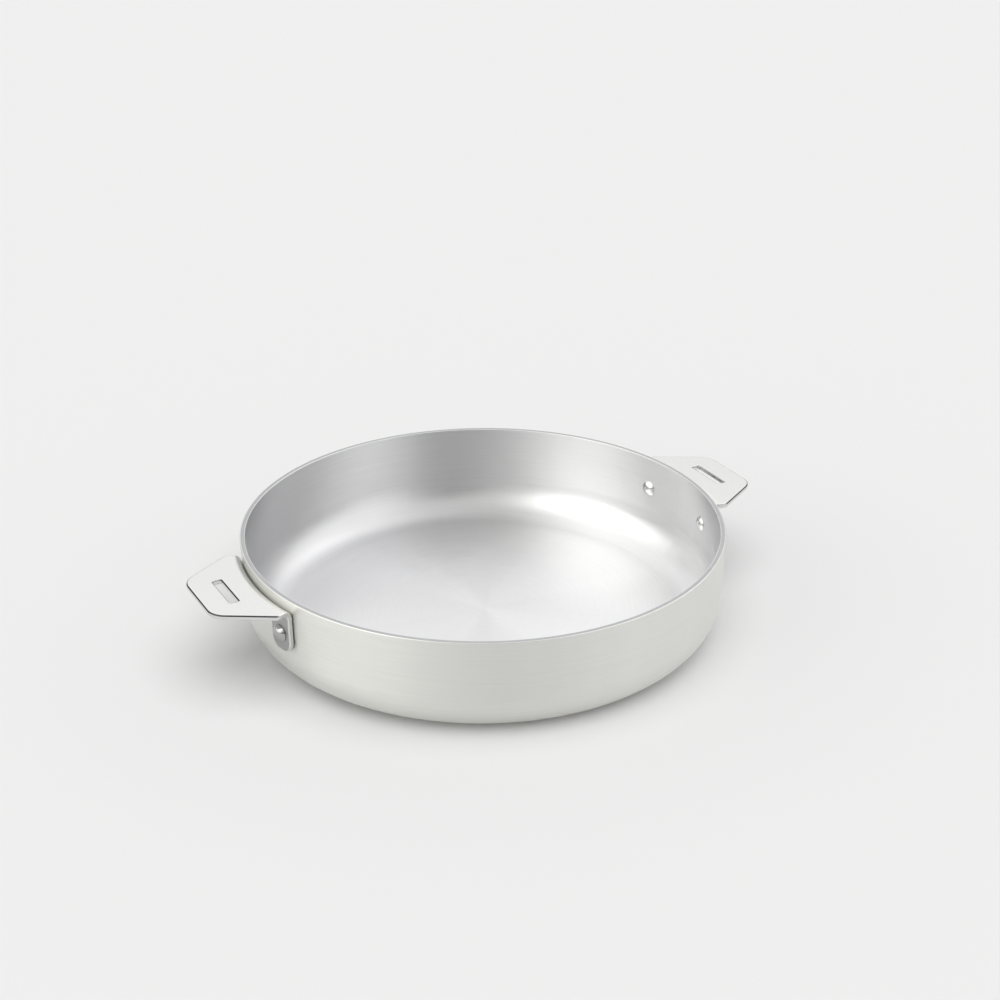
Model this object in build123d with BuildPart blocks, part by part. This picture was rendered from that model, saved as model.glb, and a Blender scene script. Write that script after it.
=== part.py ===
from build123d import *
import os
from math import asin, cos, degrees, hypot, radians, sin, tan

# A straight-walled round braiser: a body pressed from clad steel, with two riveted side handles.
# The pan stands on the plane Z = 0 with its axis on Z, and its handles point along +X and -X.
# Sizes are in millimetres and angles in degrees.

# Body
rim_diameter = 280.0
pan_height = 59.0
wall_draft = 0.9  # how far the wall leans outwards from the vertical
corner_radius = 24.0  # outside, between wall and floor
shell_thickness = 0.5  # magnetic stainless steel, outside
core_thickness = 2.0  # aluminium
lining_thickness = 0.5  # stainless steel, inside
rim_round = 0.3  # broken edges of the ground rim

# Handle, stamped and bent from one sheet
sheet = 3.0
plate_drop = 4.1  # from the rim down to the plate's top
plate_reach = 34.5  # from the rim out to the plate's end
plate_end_width = 44.0  # between the end's corners, before they are rounded
plate_corner_radius = 12.0
flare_start = 9.5  # from the wall out to where the sides turn in towards the end
flare_radius = 4.0
bend_radius = 5.0  # on the outside of the bend, next to the wall
lip_drop = 3.0  # how far the flange between the ears runs on below the bend
slot_length = 28.0
slot_width = 5.0
slot_inset = 13.7  # from the plate's end to the slot
slot_corner_radius = 0.8
ear_width = 16.5
ear_drop = 26.5  # from the plate's top to the ears' lowest point
ear_corner_radius = 6.5
window_corner_radius = 6.0
edge_round = 0.9  # tumbled edges, next to both faces of the sheet
seat_gap = 0.15  # between the wall and the sheet that hugs it

# Rivets
rivet_pitch = 60.0  # between the two rivets of a handle, across the ears' faces
rivet_drop = 16.1  # from the plate's top to the rivets
shank_diameter = 5.0
outer_head_diameter = 10.4
outer_head_height = 3.0
inner_head_diameter = 9.4
inner_head_height = 2.2
head_land = 0.4  # straight edge of a head, below its dome

# Construction
overrun = 1.0  # how far every cut runs past the face it starts or ends on
ear_round_limit_share = 0.4  # largest corner, as a share of the ear's width

# Worked out from the sizes above
rim_radius = rim_diameter / 2
draft = radians(wall_draft)
wall_thickness = shell_thickness + core_thickness + lining_thickness
core_depth = shell_thickness
lining_depth = shell_thickness + core_thickness
ear_face_depth = -(seat_gap + sheet)  # of the ears' outer faces, outside the wall
plate_top = pan_height - plate_drop
plate_underside = plate_top - sheet
plate_end = rim_radius + plate_reach
lip_bottom = plate_top - bend_radius - lip_drop
ear_bottom = plate_top - ear_drop
rivet_height = plate_top - rivet_drop


def wall_radius(height, depth=0):
    """Radius of the pan's outside at a height, or of the surface that lies depth inside it."""
    return rim_radius - (pan_height - height) * tan(draft) - depth / cos(draft)


def polar_point(radius, azimuth):
    """Point of a plan view at a radius, with its azimuth in degrees."""
    return (radius * cos(radians(azimuth)), radius * sin(radians(azimuth)))


ear_face_radius = wall_radius(rivet_height, ear_face_depth)
rivet_azimuth = degrees(asin(rivet_pitch / 2 / ear_face_radius))
ear_outer_azimuth = degrees(asin((rivet_pitch + ear_width) / 2 / ear_face_radius))
window_half_width = (rivet_pitch - ear_width) / 2

# The plate's flanks run in from the flare's corners to the end. Drawn on to X = 0, they stay
# outside the ears.
flare_x, flare_y = polar_point(wall_radius(plate_top) + flare_start, ear_outer_azimuth)
flank_slope = (flare_y - plate_end_width / 2) / (plate_end - flare_x)
flank_half_width_at_axis = plate_end_width / 2 + flank_slope * plate_end
blank_radius = hypot(plate_end, plate_end_width / 2) + overrun

handle_turns = {"right": Rot(0, 0, 0), "left": Rot(0, 0, 180)}
ear_flank_turn = Rot(0, 0, -ear_outer_azimuth)
ear_turns = [Rot(0, 0, -rivet_azimuth), Rot(0, 0, rivet_azimuth)]
rivet_turns = {
    "right_front": Rot(0, 0, -rivet_azimuth),
    "right_rear": Rot(0, 0, rivet_azimuth),
    "left_front": Rot(0, 0, 180 + rivet_azimuth),
    "left_rear": Rot(0, 0, 180 - rivet_azimuth),
}
# Seat of a rivet at azimuth zero: on the wall's outside, facing out square to the wall.
rivet_seat = Plane(
    origin=(wall_radius(rivet_height), 0, rivet_height),
    x_dir=(0, 1, 0),
    z_dir=(cos(draft), 0, -sin(draft)),
)


def pressing_section(depth, top):
    """Half section of the pan's outline, moved inwards by depth and closed off at the height top."""
    with BuildSketch(Plane.XZ) as half:
        with BuildLine():
            Polyline(
                (0, depth),
                (wall_radius(depth, depth), depth),
                (wall_radius(top, depth), top),
                (0, top),
                close=True,
            )
        make_face()
        foot = half.vertices().group_by(Axis.Y)[0].sort_by(Axis.X)[-1]
        fillet(foot, corner_radius - depth)
    return half.sketch


def cut_shank_holes(turns):
    """Cuts the holes that the rivets' shanks fill once they are set."""
    with Locations(*[turn * rivet_seat.location for turn in turns]):
        Cylinder(shank_diameter / 2, 2 * (wall_thickness + sheet), mode=Mode.SUBTRACT)


# The three bonded layers of the body, from the outside in
with BuildPart() as outer_shell:
    revolve(pressing_section(0, pan_height), axis=Axis.Z)
    revolve(pressing_section(core_depth, pan_height + overrun), axis=Axis.Z, mode=Mode.SUBTRACT)
    rim_edges = outer_shell.edges().filter_by(GeomType.CIRCLE).group_by(Axis.Z)[-1]
    fillet(rim_edges.sort_by(SortBy.RADIUS)[-1], rim_round)
    cut_shank_holes(rivet_turns.values())

with BuildPart() as aluminium_core:
    revolve(pressing_section(core_depth, pan_height), axis=Axis.Z)
    revolve(pressing_section(lining_depth, pan_height + overrun), axis=Axis.Z, mode=Mode.SUBTRACT)
    cut_shank_holes(rivet_turns.values())

with BuildPart() as inner_lining:
    revolve(pressing_section(lining_depth, pan_height), axis=Axis.Z)
    revolve(pressing_section(wall_thickness, pan_height + overrun), axis=Axis.Z, mode=Mode.SUBTRACT)
    rim_edges = inner_lining.edges().filter_by(GeomType.CIRCLE).group_by(Axis.Z)[-1]
    fillet(rim_edges.sort_by(SortBy.RADIUS)[0], rim_round)
    cut_shank_holes(rivet_turns.values())

# One handle at azimuth zero: the bent sheet is turned round the wall as far as the ears reach,
# then the plate is cut to its outline and the ears are parted
with BuildPart() as handle:
    ear_flank = Plane(ear_flank_turn * Plane.XZ.location)
    with BuildSketch(ear_flank) as bent_sheet:
        with BuildLine():
            Polyline(
                (wall_radius(ear_bottom, -seat_gap), ear_bottom),
                (wall_radius(plate_top, -seat_gap), plate_top),
                (blank_radius, plate_top),
                (blank_radius, plate_underside),
                (wall_radius(plate_underside, ear_face_depth), plate_underside),
                (wall_radius(ear_bottom, ear_face_depth), ear_bottom),
                close=True,
            )
        make_face()
        inside_of_bend = bent_sheet.vertices().group_by(Axis.Y)[1].sort_by(Axis.X)[0]
        fillet(inside_of_bend, bend_radius - sheet)
        outside_of_bend = bent_sheet.vertices().group_by(Axis.Y)[-1].sort_by(Axis.X)[0]
        fillet(outside_of_bend, bend_radius)
    revolve(axis=Axis.Z, revolution_arc=2 * ear_outer_azimuth)

    with BuildSketch() as outline:
        with BuildLine():
            Polyline(
                (0, -flank_half_width_at_axis),
                (plate_end, -plate_end_width / 2),
                (plate_end, plate_end_width / 2),
                (0, flank_half_width_at_axis),
                close=True,
            )
        make_face()
        fillet(outline.vertices().group_by(Axis.X)[-1], plate_corner_radius)
    extrude(amount=pan_height, mode=Mode.INTERSECT)
    flare_corners = handle.edges().filter_by(Axis.Z)
    fillet(flare_corners.filter_by_position(Axis.X, 0, flare_x + overrun), flare_radius)

    with BuildSketch(Plane.YZ) as window:
        with BuildLine():
            Polyline(
                (-window_half_width, ear_bottom - overrun),
                (-window_half_width, lip_bottom),
                (window_half_width, lip_bottom),
                (window_half_width, ear_bottom - overrun),
                close=True,
            )
        make_face()
        fillet(window.vertices().group_by(Axis.Y)[-1], window_corner_radius)
    extrude(amount=plate_end, mode=Mode.SUBTRACT)
    ear_corners = handle.edges().group_by(Axis.Z)[0].filter_by(GeomType.LINE)
    fillet(ear_corners, min(ear_corner_radius, ear_round_limit_share * ear_width))

    # Only the plate's end runs along Y so far. Each rounding follows the whole loop of its edge.
    fillet(handle.edges().filter_by(Axis.Y).group_by(Axis.X)[-1], edge_round)

    with BuildSketch(Plane.XY.offset(plate_top + overrun)):
        with Locations((plate_end - slot_inset - slot_width / 2, 0)):
            RectangleRounded(slot_width, slot_length, slot_corner_radius)
    extrude(amount=-(sheet + 2 * overrun), mode=Mode.SUBTRACT)
    slot_sides = handle.edges().filter_by(Axis.Y).filter_by(GeomType.LINE)
    fillet(slot_sides.filter_by_position(Axis.X, 0, plate_end - slot_inset), edge_round)

    cut_shank_holes(ear_turns)

# What a rivet clamps together, without its hole: the wall, and an ear against it
with BuildPart() as clamped:
    revolve(pressing_section(ear_face_depth, pan_height), axis=Axis.Z)
    revolve(pressing_section(wall_thickness, pan_height + overrun), axis=Axis.Z, mode=Mode.SUBTRACT)

# One rivet at azimuth zero, drawn from its own axis. Its heads start inside the joint and are
# trimmed to the curved faces that they seat on, and its shank fills the hole.
with BuildPart() as rivet:
    half_section = Plane(origin=rivet_seat.origin, x_dir=rivet_seat.z_dir, z_dir=(0, 1, 0))
    rivet_axis = Axis(rivet_seat.origin, rivet_seat.z_dir)
    heads = (
        (-ear_face_depth, outer_head_diameter / 2, outer_head_height, 1),
        (-wall_thickness, inner_head_diameter / 2, inner_head_height, -1),
    )
    for face, head_radius, head_height, outwards in heads:
        root = face - outwards * overrun
        edge_of_dome = (face + outwards * head_land, head_radius)
        apex = (face + outwards * head_height, 0)
        with BuildSketch(half_section):
            with BuildLine():
                TangentArc(apex, edge_of_dome, tangent=(0, 1))
                Polyline(edge_of_dome, (root, head_radius), (root, 0), apex)
            make_face()
        revolve(axis=rivet_axis)
    add(clamped.part, mode=Mode.SUBTRACT)
    with Locations(rivet_seat):
        Cylinder(
            shank_diameter / 2, sheet + overrun, align=(Align.CENTER, Align.CENTER, Align.MIN)
        )
        Cylinder(
            shank_diameter / 2, wall_thickness + overrun, align=(Align.CENTER, Align.CENTER, Align.MAX)
        )

os.makedirs("parts", exist_ok=True)
for name, layer in (
    ("outer_shell", outer_shell),
    ("aluminium_core", aluminium_core),
    ("inner_lining", inner_lining),
):
    layer.part.label = name
    export_step(layer.part, f"parts/{name}.step")
for name, turn in handle_turns.items():
    with BuildPart() as placed_handle:
        with Locations(turn):
            add(handle.part)
    placed_handle.part.label = f"{name}_handle"
    export_step(placed_handle.part, f"parts/{name}_handle.step")
for name, turn in rivet_turns.items():
    with BuildPart() as placed_rivet:
        with Locations(turn):
            add(rivet.part)
    placed_rivet.part.label = f"{name}_rivet"
    export_step(placed_rivet.part, f"parts/{name}_rivet.step")
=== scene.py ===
from math import cos, pi, radians, sin

import bpy
from bpy.props import FloatProperty, FloatVectorProperty, PointerProperty
from mathutils import Matrix, Vector


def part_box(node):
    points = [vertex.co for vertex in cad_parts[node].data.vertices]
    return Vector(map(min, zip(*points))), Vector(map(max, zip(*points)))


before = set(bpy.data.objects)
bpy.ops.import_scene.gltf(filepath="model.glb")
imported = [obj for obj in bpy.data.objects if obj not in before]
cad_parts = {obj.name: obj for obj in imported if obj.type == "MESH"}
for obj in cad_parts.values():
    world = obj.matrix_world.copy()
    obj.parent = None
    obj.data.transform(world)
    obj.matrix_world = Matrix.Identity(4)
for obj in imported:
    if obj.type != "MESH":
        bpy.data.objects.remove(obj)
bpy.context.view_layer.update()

bl_info = {
    "name": "Braiser Looks",
    "version": (1, 0, 0),
    "blender": (4, 5, 0),
    "location": "View3D > Sidebar > Braiser",
    "description": "Finishes a riveted stainless steel braiser and sets up its studio",
    "category": "Object",
}

MM = 0.001
PAN_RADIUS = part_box("outer_shell")[1][0]
PLATE_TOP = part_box("left_handle")[1][2]
SHEET = 3 * MM  # thickness of the handles' sheet
PLATE_UNDERSIDE = PLATE_TOP - SHEET
BEND_END = PAN_RADIUS + 8 * MM  # where the plate leaves its bend beside the wall
FADE = 1 * MM  # width of the change from one finish to the next

# Brushed sheet
MARK_SPACING = 0.6 * MM  # brush marks, drawn coarser than the usual 0.1 mm so that they show
MARK_LENGTH = 40 * MM
MARK_CONTRAST = 0.025  # share by which the marks lighten and darken the steel
MARK_DEPTH = 0.04  # how much rougher and smoother they make it
MARK_STRETCH = 0.8  # how far they stretch a highlight, from 0 to 1
ACROSS_MARKS = 0.25  # a quarter turn, so that highlights stretch across the marks
SPOKES = 3.6  # scale of the painted sheen round the pan, a few brighter and darker spokes to each side
PAINTED_SHEEN_CONTRAST = 0.015
SPOKE_DETAIL = 4

# Ground metal
BELT_GRAIN = (0.5 * MM, 12 * MM, 12 * MM)  # belt scratches of the plate, drawn coarse to show
BELT_CONTRAST = 0.015
BELT_DEPTH = 0.05
WHEEL_GRAIN = 2 * MM  # unevenness that the wheel leaves in the ground rim
WHEEL_CONTRAST = 0.04
WHEEL_DETAIL = 2
WHEEL_ROUGHNESS = 0.45
NOISE_LOW, NOISE_HIGH = 0.3, 0.7  # the band that nearly all of a noise texture lies in

# Greys that are matched, as shares of the brightness of the ground plate and inner heads
# Painted shade under the handle plate, on the ears' faces
EAR_PAINTED_SHADE = 0.55
# Painted shade under the handle plate, on the outer rivet heads
OUTER_HEAD_PAINTED_SHADE = 0.6

# Zones of a handle, by the upward or outward part of its normal, from their edge to their inside
PLATE_FACE = (0.95, 0.995)  # upward
EAR_FACE = (0.93, 0.985)  # outward
LINE_FOOT = (0.1, 0.25)  # upward, the lower side of the painted dark reflection on a rounded edge
LINE_TOP = (0.97, 0.92)  # upward, its upper side
PLATE_END = (0.1, 0.5)  # outward, from the plate's flanks to its end
PAINTED_REFLECTION_DARKNESS = (0.35, 0.94)  # share of the colour that the painted dark reflection takes away on the flanks and at the end


def linear(hex_colour):
    """Linear RGB of an sRGB hex colour."""
    channels = [int(hex_colour[i:i + 2], 16) / 255 for i in (1, 3, 5)]
    return [c / 12.92 if c <= 0.04045 else ((c + 0.055) / 1.055) ** 2.4 for c in channels]


def colour_property(name, description, hex_colour):
    """A colour that a user can change, with its default given in sRGB hex."""
    return FloatVectorProperty(
        name=name, description=description, default=linear(hex_colour),
        subtype="COLOR", size=3, min=0, max=1,
    )


class BraiserFinishes(bpy.types.PropertyGroup):
    """Colours and finishes of the metals."""

    shell_steel: colour_property("Shell steel", "Brushed magnetic steel outside", "#E3E3DF")
    lining_steel: colour_property("Lining steel", "Brushed chrome nickel steel inside", "#DEDEDF")
    handle_steel: colour_property("Handle steel", "Linished steel of the handles", "#DDDDDB")
    rivet_steel: colour_property("Rivet steel", "Polished steel of the rivets", "#E0E0DE")
    core_aluminium: colour_property("Core aluminium", "Ground aluminium in the rim", "#B2B3B4")
    shell_roughness: FloatProperty(
        name="Shell roughness", description="Roughness of the brushed outside",
        default=0.38, min=0, max=1, subtype="FACTOR",
    )
    lining_roughness: FloatProperty(
        name="Lining roughness", description="Roughness of the brushed inside, which is finer",
        default=0.34, min=0, max=1, subtype="FACTOR",
    )
    linished_roughness: FloatProperty(
        name="Linished roughness", description="Roughness of the handles' faces",
        default=0.32, min=0, max=1, subtype="FACTOR",
    )
    polished_roughness: FloatProperty(
        name="Polished roughness", description="Roughness of the handles' edges and the rivets",
        default=0.1, min=0, max=1, subtype="FACTOR",
    )


class BraiserStage(bpy.types.PropertyGroup):
    """Camera, floor and key lamp."""

    camera_distance: FloatProperty(
        name="Camera distance", description="From the pan's centre to the camera",
        default=1048.3 * MM, unit="LENGTH",
    )
    camera_elevation: FloatProperty(
        name="Camera elevation", description="Height of the camera above the horizon",
        default=radians(29.055), subtype="ANGLE",
    )
    camera_azimuth: FloatProperty(
        name="Camera azimuth", description="Turn of the camera from the pan's +X axis",
        default=radians(-117.9), subtype="ANGLE",
    )
    floor_colour: colour_property("Floor", "Paint of the studio floor", "#F0F0F0")
    key_share: FloatProperty(
        name="Key share", description="Share of the floor's light that comes from the key lamp",
        default=0.62, min=0, max=1, subtype="FACTOR",
    )
    key_elevation: FloatProperty(
        name="Key elevation", description="Height of the key lamp above the horizon",
        default=radians(75), subtype="ANGLE",
    )
    key_size: FloatProperty(
        name="Key size", description="Angle that the key lamp spans, which softens the shadow",
        default=radians(64), subtype="ANGLE",
    )


def add_node(tree, kind, settings=None, **links):
    """Adds a node with its settings and links. A link is named for its input, or _0 for the first,
    and takes a socket, a node whose first output it uses, or a constant."""
    node = tree.nodes.new(kind)
    for name, value in (settings or {}).items():
        setattr(node, name, value)
    for name, value in links.items():
        key = int(name[1:]) if name[1:].isdigit() else name.replace("_", " ")
        if isinstance(value, bpy.types.Node):
            value = value.outputs[0]
        if isinstance(value, bpy.types.NodeSocket):
            tree.links.new(value, node.inputs[key])
        else:
            node.inputs[key].default_value = value
    return node


def new_metal(name, colour, roughness, anisotropy=0.0):
    """A metal's material with its constant values set, and its tree and shader."""
    material = bpy.data.materials.new(name)
    material.use_nodes = True
    shader = material.node_tree.nodes["Principled BSDF"]
    shader.inputs["Metallic"].default_value = 1.0
    shader.inputs["Base Color"].default_value = (*colour, 1)
    shader.inputs["Roughness"].default_value = roughness
    shader.inputs["Anisotropic"].default_value = anisotropy
    return material, material.node_tree, shader


def places(tree):
    """Where a point of the pan is: its position, the way out from the axis, radius and height."""
    position = add_node(tree, "ShaderNodeTexCoord").outputs["Object"]
    level = add_node(
        tree, "ShaderNodeVectorMath", {"operation": "MULTIPLY"}, _0=position, _1=(1, 1, 0))
    outwards = add_node(tree, "ShaderNodeVectorMath", {"operation": "NORMALIZE"}, _0=level)
    radius = add_node(tree, "ShaderNodeVectorMath", {"operation": "LENGTH"}, _0=level)
    height = add_node(tree, "ShaderNodeSeparateXYZ", _0=position)
    return position, outwards, radius.outputs["Value"], height.outputs["Z"]


def brushed_stainless(name, colour, roughness):
    """Stainless sheet brushed on a turntable. To the eye, fine marks run round the pan and stretch
    each highlight across them, into spokes on the floor that swell and fade from side to side.
    A faint painted sheen of brighter and darker spokes round the axis adds to them."""
    material, tree, shader = new_metal(name, colour, roughness, anisotropy=MARK_STRETCH)
    shader.inputs["Anisotropic Rotation"].default_value = ACROSS_MARKS
    position, outwards, radius, height = places(tree)
    tangent = add_node(
        tree, "ShaderNodeVectorMath", {"operation": "CROSS_PRODUCT"}, _0=(0, 0, 1), _1=position)
    tree.links.new(tangent.outputs[0], shader.inputs["Tangent"])
    along_section = add_node(tree, "ShaderNodeMath", {"operation": "ADD"}, _0=radius, _1=height)
    mark_number = add_node(
        tree, "ShaderNodeMath", {"operation": "DIVIDE"}, _0=along_section, _1=MARK_SPACING)
    wound = add_node(
        tree, "ShaderNodeVectorMath", {"operation": "MULTIPLY_ADD"},
        _0=outwards, _1=(PAN_RADIUS / MARK_LENGTH,) * 3,
        _2=add_node(tree, "ShaderNodeCombineXYZ", Z=mark_number))
    marks = add_node(tree, "ShaderNodeTexNoise", Vector=wound, Scale=1.0)
    spokes = add_node(tree, "ShaderNodeTexNoise", Vector=outwards, Scale=SPOKES, Detail=SPOKE_DETAIL)
    mark_shade = add_node(
        tree, "ShaderNodeMapRange", Value=marks, From_Min=NOISE_LOW, From_Max=NOISE_HIGH,
        To_Min=1 - MARK_CONTRAST, To_Max=1 + MARK_CONTRAST)
    # Painted sheen: the colour is a little brighter and darker in spokes round the axis
    painted_spoke_sheen = add_node(
        tree, "ShaderNodeMapRange", Value=spokes, From_Min=NOISE_LOW, From_Max=NOISE_HIGH,
        To_Min=1 - PAINTED_SHEEN_CONTRAST, To_Max=1 + PAINTED_SHEEN_CONTRAST)
    shade = add_node(
        tree, "ShaderNodeMath", {"operation": "MULTIPLY"}, _0=mark_shade, _1=painted_spoke_sheen)
    tint = add_node(
        tree, "ShaderNodeVectorMath", {"operation": "SCALE"}, _0=tuple(colour), Scale=shade)
    tree.links.new(tint.outputs[0], shader.inputs["Base Color"])
    depth = add_node(
        tree, "ShaderNodeMapRange", Value=marks, From_Min=NOISE_LOW, From_Max=NOISE_HIGH,
        To_Min=roughness - MARK_DEPTH, To_Max=roughness + MARK_DEPTH)
    tree.links.new(depth.outputs[0], shader.inputs["Roughness"])
    return material


def linished_stainless(name, colour, satin, polished):
    """Stainless sheet, stamped, tumbled and then ground on a belt. To the eye, the plate and its
    bend are satin, and the rounded edges are mirrors. Along them runs a painted dark reflection,
    strongest at the plate's end, that stands for what such mirrors pick up from around them. The
    ears' faces, which the belt can't reach, are rougher, and their colour is darkened as painted
    shade under the plate."""
    material, tree, shader = new_metal(name, colour, satin)
    position, outwards, radius, height = places(tree)
    normal = add_node(tree, "ShaderNodeTexCoord").outputs["Normal"]
    tilt = add_node(tree, "ShaderNodeSeparateXYZ", _0=normal).outputs["Z"]
    upright = add_node(tree, "ShaderNodeMath", {"operation": "ABSOLUTE"}, _0=tilt)
    facing_out = add_node(
        tree, "ShaderNodeVectorMath", {"operation": "DOT_PRODUCT"}, _0=normal, _1=outwards)

    # Zones of the stamping, each from 0 outside it to 1 inside
    on_plate = add_node(
        tree, "ShaderNodeMapRange", Value=height,
        From_Min=PLATE_UNDERSIDE - 2 * FADE, From_Max=PLATE_UNDERSIDE - FADE)
    off_plate = add_node(tree, "ShaderNodeMath", {"operation": "SUBTRACT"}, _0=1.0, _1=on_plate)
    past_bend = add_node(
        tree, "ShaderNodeMapRange", Value=radius, From_Min=BEND_END, From_Max=BEND_END + FADE)
    bend = add_node(tree, "ShaderNodeMath", {"operation": "SUBTRACT"}, _0=1.0, _1=past_bend)
    flat = add_node(
        tree, "ShaderNodeMapRange", Value=upright, From_Min=PLATE_FACE[0], From_Max=PLATE_FACE[1])
    reached = add_node(tree, "ShaderNodeMath", {"operation": "MAXIMUM"}, _0=flat, _1=bend)
    belt = add_node(tree, "ShaderNodeMath", {"operation": "MULTIPLY"}, _0=reached, _1=on_plate)
    square = add_node(
        tree, "ShaderNodeMapRange", Value=facing_out.outputs["Value"],
        From_Min=EAR_FACE[0], From_Max=EAR_FACE[1])
    # The ears' faces below the plate: rougher, and darkened with painted shade
    ear_face_zone = add_node(tree, "ShaderNodeMath", {"operation": "MULTIPLY"}, _0=square, _1=off_plate)
    # Rounded edges, which carry the painted dark reflection
    above_foot = add_node(
        tree, "ShaderNodeMapRange", Value=tilt, From_Min=LINE_FOOT[0], From_Max=LINE_FOOT[1])
    below_top = add_node(
        tree, "ShaderNodeMapRange", Value=tilt, From_Min=LINE_TOP[0], From_Max=LINE_TOP[1])
    rounding = add_node(
        tree, "ShaderNodeMath", {"operation": "MULTIPLY"}, _0=above_foot, _1=below_top)
    line = add_node(tree, "ShaderNodeMath", {"operation": "MULTIPLY"}, _0=rounding, _1=past_bend)

    # What each zone does to the gloss and the colour
    scratch = add_node(
        tree, "ShaderNodeVectorMath", {"operation": "DIVIDE"}, _0=position, _1=BELT_GRAIN)
    grain = add_node(tree, "ShaderNodeTexNoise", Vector=scratch, Scale=1.0)
    ground = add_node(
        tree, "ShaderNodeMapRange", Value=grain, From_Min=NOISE_LOW, From_Max=NOISE_HIGH,
        To_Min=satin - BELT_DEPTH, To_Max=satin + BELT_DEPTH)
    dull = add_node(tree, "ShaderNodeMath", {"operation": "MAXIMUM"}, _0=belt, _1=ear_face_zone)
    gloss = add_node(tree, "ShaderNodeMix", Factor=dull, A=polished, B=ground)
    tree.links.new(gloss.outputs[0], shader.inputs["Roughness"])
    grain_shade = add_node(
        tree, "ShaderNodeMapRange", Value=grain, From_Min=NOISE_LOW, From_Max=NOISE_HIGH,
        To_Min=1 - BELT_CONTRAST, To_Max=1 + BELT_CONTRAST)
    # Painted shade: the ears' faces under the plate are darkened
    ear_painted_shade = add_node(tree, "ShaderNodeMapRange", Value=ear_face_zone, To_Min=1.0, To_Max=EAR_PAINTED_SHADE)
    # Painted dark reflection along the rounded edges, strongest at the plate's end
    painted_reflection_amount = add_node(
        tree, "ShaderNodeMapRange", Value=facing_out.outputs["Value"],
        From_Min=PLATE_END[0], From_Max=PLATE_END[1],
        To_Min=PAINTED_REFLECTION_DARKNESS[0], To_Max=PAINTED_REFLECTION_DARKNESS[1])
    painted_reflection_loss = add_node(tree, "ShaderNodeMath", {"operation": "MULTIPLY"}, _0=line, _1=painted_reflection_amount)
    painted_reflection_shade = add_node(tree, "ShaderNodeMath", {"operation": "SUBTRACT"}, _0=1.0, _1=painted_reflection_loss)
    # Painted shade of the ears' faces times the painted dark reflection of the edges
    dark = add_node(tree, "ShaderNodeMath", {"operation": "MULTIPLY"}, _0=ear_painted_shade, _1=painted_reflection_shade)
    shade = add_node(tree, "ShaderNodeMath", {"operation": "MULTIPLY"}, _0=dark, _1=grain_shade)
    tint = add_node(
        tree, "ShaderNodeVectorMath", {"operation": "SCALE"}, _0=tuple(colour), Scale=shade)
    tree.links.new(tint.outputs[0], shader.inputs["Base Color"])
    return material


def tumbled_rivet(name, colour, polished):
    """Stainless wire, cold headed and tumbled. To the eye, the heads in the bowl are small bright
    mirrors, and the outer heads, under the handle plate, are darkened with painted shade."""
    material, tree, shader = new_metal(name, colour, polished)
    _, _, radius, _ = places(tree)
    # Painted shade: the heads outside the wall are darker
    shade = add_node(
        tree, "ShaderNodeMapRange", Value=radius, From_Min=PAN_RADIUS, From_Max=PAN_RADIUS + FADE,
        To_Min=1.0, To_Max=OUTER_HEAD_PAINTED_SHADE)
    tint = add_node(
        tree, "ShaderNodeVectorMath", {"operation": "SCALE"}, _0=tuple(colour), Scale=shade)
    tree.links.new(tint.outputs[0], shader.inputs["Base Color"])
    return material


def ground_aluminium(name, colour):
    """Aluminium core sheet, ground flat at the rim. To the eye, a duller and bluer grey line
    between the two bright edges of steel, with a faint unevenness from the wheel."""
    material, tree, shader = new_metal(name, colour, WHEEL_ROUGHNESS)
    _, outwards, _, _ = places(tree)
    wheel = add_node(
        tree, "ShaderNodeTexNoise", Vector=outwards, Scale=PAN_RADIUS / WHEEL_GRAIN, Detail=WHEEL_DETAIL)
    shade = add_node(
        tree, "ShaderNodeMapRange", Value=wheel, From_Min=NOISE_LOW, From_Max=NOISE_HIGH,
        To_Min=1 - WHEEL_CONTRAST, To_Max=1 + WHEEL_CONTRAST)
    tint = add_node(
        tree, "ShaderNodeVectorMath", {"operation": "SCALE"}, _0=tuple(colour), Scale=shade)
    tree.links.new(tint.outputs[0], shader.inputs["Base Color"])
    return material


def put_on(node, material):
    """Gives a CAD node one material in every slot."""
    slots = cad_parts[node].data.materials
    if not slots:
        slots.append(material)
    for index in range(len(slots)):
        slots[index] = material


class BRAISER_OT_body(bpy.types.Operator):
    """Finish the three layers of the body"""

    bl_idname = "braiser.body"
    bl_label = "Body"

    def execute(self, context):
        finishes = context.scene.braiser_finishes
        put_on("outer_shell", brushed_stainless(
            "brushed_ferritic_stainless", finishes.shell_steel, finishes.shell_roughness))
        put_on("inner_lining", brushed_stainless(
            "brushed_austenitic_stainless", finishes.lining_steel, finishes.lining_roughness))
        put_on("aluminium_core", ground_aluminium("ground_aluminium", finishes.core_aluminium))
        return {"FINISHED"}


class BRAISER_OT_handles(bpy.types.Operator):
    """Finish the two side handles"""

    bl_idname = "braiser.handles"
    bl_label = "Handles"

    def execute(self, context):
        finishes = context.scene.braiser_finishes
        steel = linished_stainless(
            "linished_stainless_sheet", finishes.handle_steel,
            finishes.linished_roughness, finishes.polished_roughness)
        put_on("left_handle", steel)
        put_on("right_handle", steel)
        return {"FINISHED"}


class BRAISER_OT_rivets(bpy.types.Operator):
    """Finish the four rivets"""

    bl_idname = "braiser.rivets"
    bl_label = "Rivets"

    def execute(self, context):
        finishes = context.scene.braiser_finishes
        steel = tumbled_rivet(
            "tumbled_stainless_wire", finishes.rivet_steel, finishes.polished_roughness)
        for side in ("left", "right"):
            for place in ("front", "rear"):
                put_on(f"{side}_{place}_rivet", steel)
        return {"FINISHED"}


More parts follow.
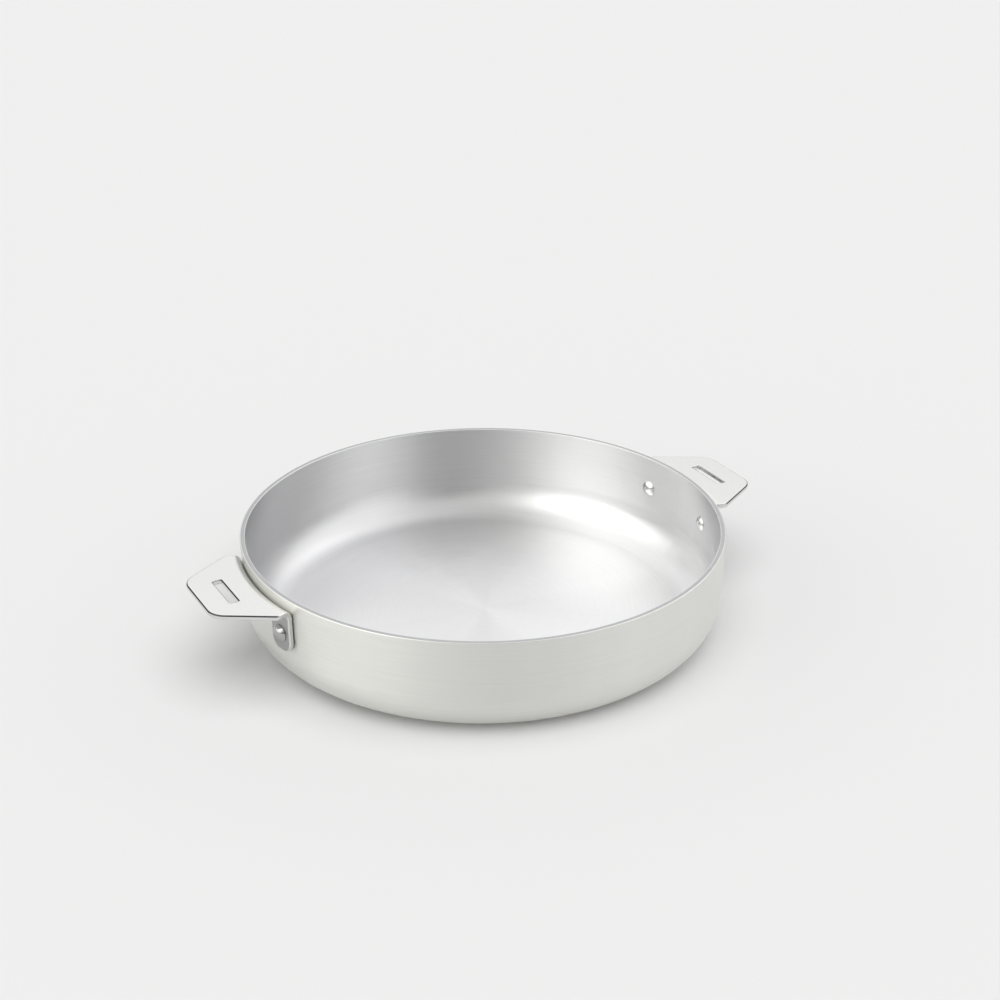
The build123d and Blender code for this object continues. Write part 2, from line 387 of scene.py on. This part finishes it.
# Softboxes that the steel mirrors: turn to the left from the camera's right, height above the
# horizon, spread to the faded edge, strength in the middle and colour. The left one is a little warm.
SOFTBOXES = {
    "left": (radians(194), radians(28), radians(54), 1.8, "#FFFFFB"),
    "front left": (radians(230), radians(45), radians(55), 0.9, "#FFFFFB"),
    "front": (radians(290), radians(8), radians(50), 0.12, "#FFFFFB"),
    "right": (radians(0), radians(30), radians(70), 1.17, "#FFFFFF"),
    "back left": (radians(142), radians(20), radians(40), 0.3, "#FFFFFF"),
    "back": (radians(90), radians(48), radians(50), 1.27, "#FFFFFF"),
}
ROOM_GLOW = 0.04  # what the steel mirrors between the soft boxes
HORIZON_GAIN = 3  # a glow that fades evenly to the zenith needs this much at the horizon
KEY_TURN = radians(-70)  # from the camera's right round towards the camera
WIDE_LAMP_GAIN = 1.11  # how much more a lamp this wide gives the floor than its strength says
FLOOR_RADIUS = 8  # metres, past the camera's view on every side
FLOOR_SIDES = 64
SENSOR_WIDTH = 36  # mm
CAMERA_LENS = 63.35  # mm
CAMERA_TURN = radians(0.618)  # the camera looks this far to the right of the pan's centre
CAMERA_DIP = radians(25.433)  # how far the camera looks down from the horizon
CAMERA_ROLL = radians(-0.095)


def direction(azimuth, elevation):
    """Unit vector towards a place on the studio's dome."""
    return Vector((cos(elevation) * cos(azimuth), cos(elevation) * sin(azimuth), sin(elevation)))


def studio_world(stage):
    """Dome that shows soft boxes to the steel, a horizon glow to the floor and a plain backdrop."""
    world = bpy.data.worlds.new("studio")
    world.use_nodes = True
    tree = world.node_tree
    looked_at = add_node(tree, "ShaderNodeTexCoord").outputs["Generated"]
    light = (ROOM_GLOW,) * 3
    for turn, elevation, spread, strength, colour in SOFTBOXES.values():
        middle = direction(stage.camera_azimuth + pi / 2 + turn, elevation)
        nearness = add_node(
            tree, "ShaderNodeVectorMath", {"operation": "DOT_PRODUCT"}, _0=looked_at, _1=middle)
        box = add_node(
            tree, "ShaderNodeMapRange", {"interpolation_type": "SMOOTHSTEP"},
            Value=nearness.outputs["Value"],
            From_Min=cos(spread), From_Max=1, To_Min=0, To_Max=strength)
        light = add_node(
            tree, "ShaderNodeVectorMath", {"operation": "MULTIPLY_ADD"},
            _0=box, _1=linear(colour), _2=light)
    path = add_node(tree, "ShaderNodeLightPath").outputs
    height = add_node(tree, "ShaderNodeSeparateXYZ", _0=looked_at).outputs["Z"]
    glow = add_node(
        tree, "ShaderNodeMapRange", Value=height,
        To_Min=HORIZON_GAIN * (1 - stage.key_share), To_Max=0.0)
    off_floor = add_node(
        tree, "ShaderNodeMath", {"operation": "LESS_THAN"}, _0=path["Diffuse Depth"], _1=1)
    seen = add_node(tree, "ShaderNodeMixRGB", Fac=off_floor, Color1=glow, Color2=light)
    shown = add_node(
        tree, "ShaderNodeMixRGB", Fac=path["Is Camera Ray"], Color1=seen,
        Color2=(*stage.floor_colour, 1)).outputs[0]
    tree.links.new(shown, tree.nodes["Background"].inputs["Color"])
    return world


class BRAISER_OT_stage(bpy.types.Operator):
    """Set up the floor, the lights and the camera"""

    bl_idname = "braiser.stage"
    bl_label = "Stage"

    def execute(self, context):
        stage = context.scene.braiser_stage
        bpy.ops.object.select_all(action="DESELECT")
        bpy.ops.mesh.primitive_circle_add(
            vertices=FLOOR_SIDES, radius=FLOOR_RADIUS, fill_type="NGON")
        floor = context.object
        floor.name = "floor"
        paint = bpy.data.materials.new("matt_studio_paint")
        paint.use_nodes = True
        shader = paint.node_tree.nodes["Principled BSDF"]
        shader.inputs["Base Color"].default_value = (*stage.floor_colour, 1)
        shader.inputs["Roughness"].default_value = 1.0
        shader.inputs["Specular IOR Level"].default_value = 0.0
        floor.data.materials.append(paint)

        context.scene.world = studio_world(stage)
        context.scene.view_settings.view_transform = "Standard"

        key_data = bpy.data.lights.new("key", "SUN")
        key_data.angle = stage.key_size
        key_data.energy = pi * stage.key_share / sin(stage.key_elevation) / WIDE_LAMP_GAIN
        key = bpy.data.objects.new("key", key_data)
        key.visible_glossy = False  # the steel mirrors the soft boxes instead
        context.scene.collection.objects.link(key)
        key.matrix_world = direction(
            stage.camera_azimuth + pi / 2 + KEY_TURN, stage.key_elevation
        ).to_track_quat("Z", "Y").to_matrix().to_4x4()

        camera_data = bpy.data.cameras.new("camera")
        camera_data.sensor_width = SENSOR_WIDTH
        camera_data.lens = CAMERA_LENS
        camera = bpy.data.objects.new("camera", camera_data)
        context.scene.collection.objects.link(camera)
        stand = direction(stage.camera_azimuth, stage.camera_elevation) * stage.camera_distance
        camera.matrix_world = (
            Matrix.Translation(stand)
            @ Matrix.Rotation(stage.camera_azimuth + pi / 2 - CAMERA_TURN, 4, "Z")
            @ Matrix.Rotation(pi / 2 - CAMERA_DIP, 4, "X")
            @ Matrix.Rotation(CAMERA_ROLL, 4, "Z")
        )
        context.scene.camera = camera
        return {"FINISHED"}


class BRAISER_PT_panel(bpy.types.Panel):
    """Lists the pieces, their finishes and the stage"""

    bl_idname = "BRAISER_PT_panel"
    bl_label = "Braiser"
    bl_space_type = "VIEW_3D"
    bl_region_type = "UI"
    bl_category = "Braiser"

    def draw(self, context):
        layout = self.layout
        for operator in (BRAISER_OT_body, BRAISER_OT_handles, BRAISER_OT_rivets, BRAISER_OT_stage):
            layout.operator(operator.bl_idname)
        for settings in (context.scene.braiser_finishes, context.scene.braiser_stage):
            for name in settings.__annotations__:
                layout.prop(settings, name)


CLASSES = (
    BraiserFinishes,
    BraiserStage,
    BRAISER_OT_body,
    BRAISER_OT_handles,
    BRAISER_OT_rivets,
    BRAISER_OT_stage,
    BRAISER_PT_panel,
)


def register():
    """Makes the classes and their settings known to the scene."""
    for cls in CLASSES:
        bpy.utils.register_class(cls)
    bpy.types.Scene.braiser_finishes = PointerProperty(type=BraiserFinishes)
    bpy.types.Scene.braiser_stage = PointerProperty(type=BraiserStage)


def unregister():
    """Takes them away again."""
    del bpy.types.Scene.braiser_stage
    del bpy.types.Scene.braiser_finishes
    for cls in reversed(CLASSES):
        bpy.utils.unregister_class(cls)


def main():
    """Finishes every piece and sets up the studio."""
    register()
    bpy.ops.braiser.body()
    bpy.ops.braiser.handles()
    bpy.ops.braiser.rivets()
    bpy.ops.braiser.stage()


if __name__ == "__main__":
    main()
